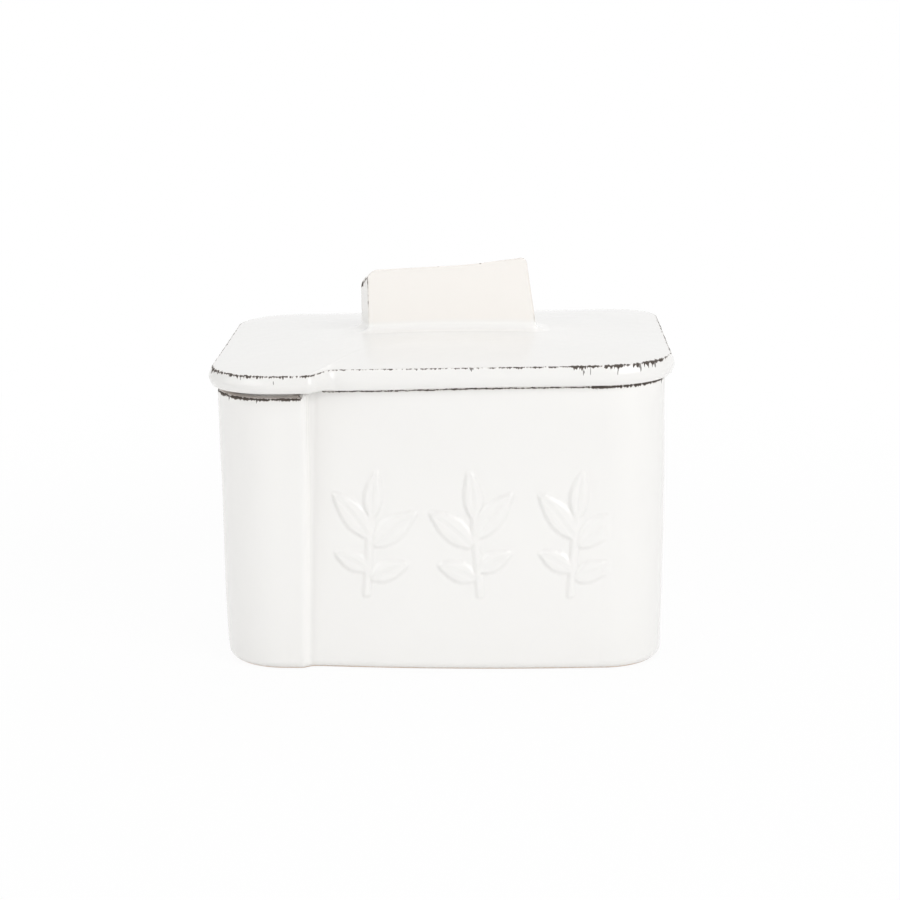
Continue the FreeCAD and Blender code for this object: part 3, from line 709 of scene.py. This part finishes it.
def glaze(name, steady, bare_rim):
    """White glaze, painted lighter or darker as light and shade and painted warm on the handle by the
    mesh's measures, and broken along its edges.

    The broken line's half width is steady, in mm, plus noise times how worn the
    place is; on the jar's flat front the line is a painted shadow of the gap
    under the lid. Thin runs hang below it where a noise drawn out upwards is high,
    and a warm fringe surrounds it. Beyond the rim's edge the glaze is wiped to
    pale clay if bare_rim is 1. The foot shows clay as well, and a few iron
    specks lie anywhere.
    """
    shader = Shader(bpy.data.materials.new(name))
    place = shader.node("ShaderNodeTexCoord")[3]
    height = shader.node("ShaderNodeSeparateXYZ", None, Vector=place)[2]
    edge = shader.measure("edge_distance")
    worn = shader.measure("glaze_break")
    depth = shader.measure("glaze_depth")
    painted_warmth = shader.measure("handle_share")

    # the dark line, its runs and its fringe, in mm
    upright = shader.node("ShaderNodeMapping", None, Vector=place, Location=(0.02, 0, 0),
                          Scale=(1, 0.3, 0.12))[0]
    ragged = shader.noise(place, 420, 3, 0.6)
    grain = shader.noise(upright, 1400, 2, 0.6)
    dashes = shader.noise(place, 170, 2, 0.6)
    runs = shader.noise(upright, 820)
    off_line = (edge + (ragged - 0.5) * 0.8).calculate("ABSOLUTE")
    width = steady + worn * ((dashes - 0.5) * 1.2 + (grain - 0.5) * 2.5 + 0.4)
    line = (width - off_line).above(0.0, 0.14)
    run_length = worn * (runs - 0.61) * 19 + (dashes - 0.5) * 1.2
    run = (run_length - edge).above(0.0, 0.3) * edge.above(-0.3, 0.1)
    worn_and_gap_shadow = line.calculate("MAXIMUM", run * 0.8)
    fringe = (width + 0.4 - off_line).above(-0.2, 0.9)

    # iron specks, in one cell of the pattern out of 25
    speck = shader.node("ShaderNodeTexVoronoi", {"feature": "F1"}, Vector=place, Scale=62.0)
    rarity = shader.node("ShaderNodeSeparateColor", None, Color=speck[1])[0]
    specks = speck[0].above(0.022, 0.012) * rarity.above(0.955, 0.965)

    cloud = shader.noise(place, 26)
    # painted light and shade: the glaze_depth measure moves the white between its lit and shaded copies,
    # with a random cloudy tone
    white = shader.mix(depth * 0.5 + (cloud - 0.5) * 0.15 + 0.5, PAINTED_LIT_WHITE, PAINTED_SHADED_WHITE)
    # painted warm bounce light on the handle
    colour = shader.mix(painted_warmth * 0.7, white, WARM_LIT_CREAM)
    colour = shader.mix(fringe * 0.22, colour, THIN_GLAZE)
    wiped = edge.above(-0.35, -0.7) * edge.above(-8.0, -7.0) * bare_rim
    colour = shader.mix(wiped, colour, RIM_CLAY)
    # the dark line: worn edges, and on the jar's flat front a painted shadow of the gap under the lid
    colour = shader.mix(worn_and_gap_shadow * 0.93, colour, DARK_WEAR_AND_GAP_SHADOW)
    colour = shader.mix(specks * 0.8, colour, DARK_WEAR_AND_GAP_SHADOW)
    foot = (height * 1000 + (ragged - 0.5) * 0.8).above(1.1, 0.7)
    colour = shader.mix(foot, colour, FOOT_CLAY)

    dull = worn_and_gap_shadow.calculate("MAXIMUM", foot)
    rough = GLOSS + dull * 0.8 + (cloud - 0.5) * 0.04
    ripple = shader.noise(place, 90)
    bump = shader.node("ShaderNodeBump", None, Height=ripple - dull * 0.5, Strength=0.12,
                       Distance=0.0008)[0]
    return shader.finish(shader.node("ShaderNodeBsdfPrincipled", None, Base_Color=colour,
                                     Roughness=rough, Normal=bump, IOR=1.5)[0])


# the jar's steady width keeps the painted gap shadow along its flat front unbroken
for piece, node, slot, steady, bare_rim in (
        (make_jar(), "jar", "jar_glaze", 0.18, 1.0),
        (make_lid(), "lid", "lid_glaze", -0.05, 0.0)):
    piece.data.materials.append(glaze(slot, steady, bare_rim))
    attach(piece, "root")
    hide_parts(node)


# --------------------------------------------------------- studio and camera
def studio_floor():
    """A pale floor that the camera sees as white, but for the canister's shadow."""
    mesh = bpy.data.meshes.new("studio_floor")
    half = 6.0
    corners = [(-half, -half, 0), (half, -half, 0), (half, half, 0), (-half, half, 0)]
    mesh.from_pydata(corners, [], [(0, 1, 2, 3)])
    floor = bpy.data.objects.new("studio_floor", mesh)
    bpy.context.scene.collection.objects.link(floor)
    shader = Shader(bpy.data.materials.new("studio_floor"))
    camera_ray, _, _, glossy_ray, _, _, transmission_ray, *_ = shader.node("ShaderNodeLightPath")
    seen = camera_ray.calculate("MAXIMUM", glossy_ray).calculate("MAXIMUM", transmission_ray)
    matt = shader.node("ShaderNodeBsdfDiffuse", None, Color=(0.93, 0.93, 0.93, 1))[0]
    glow = shader.node("ShaderNodeEmission", None, Color=(1, 1, 1, 1), Strength=1.0)[0]
    place = shader.node("ShaderNodeTexCoord")[3]
    distance = shader.node("ShaderNodeVectorMath", {"operation": "LENGTH"}, **{"0": place})[1]
    share = seen * (0.94 + 0.06 * distance.above(0.1, 0.5))
    surface = shader.node("ShaderNodeMixShader", None, **{"0": share, "1": matt, "2": glow})[0]
    mesh.materials.append(shader.finish(surface))


def studio_world():
    """White to the camera and in reflections, and a soft even light otherwise."""
    world = bpy.data.worlds.new("studio")
    bpy.context.scene.world = world
    shader = Shader(world)
    camera_ray, _, _, glossy_ray, *_ = shader.node("ShaderNodeLightPath")
    seen = camera_ray.calculate("MAXIMUM", glossy_ray)
    strength = shader.node("ShaderNodeMapRange", None, **{"0": seen, "3": WORLD_LIGHT, "4": 1.0})[0]
    background = shader.node("ShaderNodeBackground", None, Color=(1, 1, 1, 1), Strength=strength)[0]
    shader.finish(background, "ShaderNodeOutputWorld")


def soft_light(name, place, target, size, power):
    """A large square lamp at place, turned to face target."""
    lamp = bpy.data.lights.new(name, "AREA")
    lamp.shape = "SQUARE"
    lamp.size = size
    lamp.energy = power
    light = bpy.data.objects.new(name, lamp)
    bpy.context.scene.collection.objects.link(light)
    aim(light, place, target, 0)


def aim(thing, place, target, roll):
    """Put a thing at place so that its -Z axis looks at target, rolled in degrees."""
    back = np.subtract(place, target)
    back = back / np.linalg.norm(back)
    side = np.cross((0, 0, 1), back)
    side /= np.linalg.norm(side)
    up = np.cross(back, side)
    roll = math.radians(roll)
    turned = side * math.cos(roll) + up * math.sin(roll)
    matrix = np.eye(4)
    for column, values in enumerate((turned, np.cross(back, turned), back, place)):
        matrix[:3, column] = values
    thing.matrix_world = Matrix(matrix)


WORLD_LIGHT = 0.42
MIDDLE = (0, 0, 0.06)
studio_floor()
studio_world()
soft_light("key_softbox", (1.1, -1.1, 0.85), MIDDLE, 1.1, 13)
soft_light("top_softbox", (0.1, 0.5, 1.5), (0, 0, 0.1), 1.4, 8)
soft_light("fill_softbox", (-1.1, -1.2, 0.6), MIDDLE, 1.0, 5)
soft_light("left_softbox", (-1.5, -0.4, 0.5), MIDDLE, 1.0, 3)

camera_data = bpy.data.cameras.new("camera")
camera_data.sensor_width = 36
camera_data.lens = 88.96
camera = bpy.data.objects.new("camera", camera_data)
bpy.context.scene.collection.objects.link(camera)
aim(camera, (0.01985, -0.79397, 0.2512), (0.00143, 0.00525, 0.06693), -0.10)
bpy.context.scene.camera = camera
bpy.context.scene.view_settings.view_transform = "Standard"
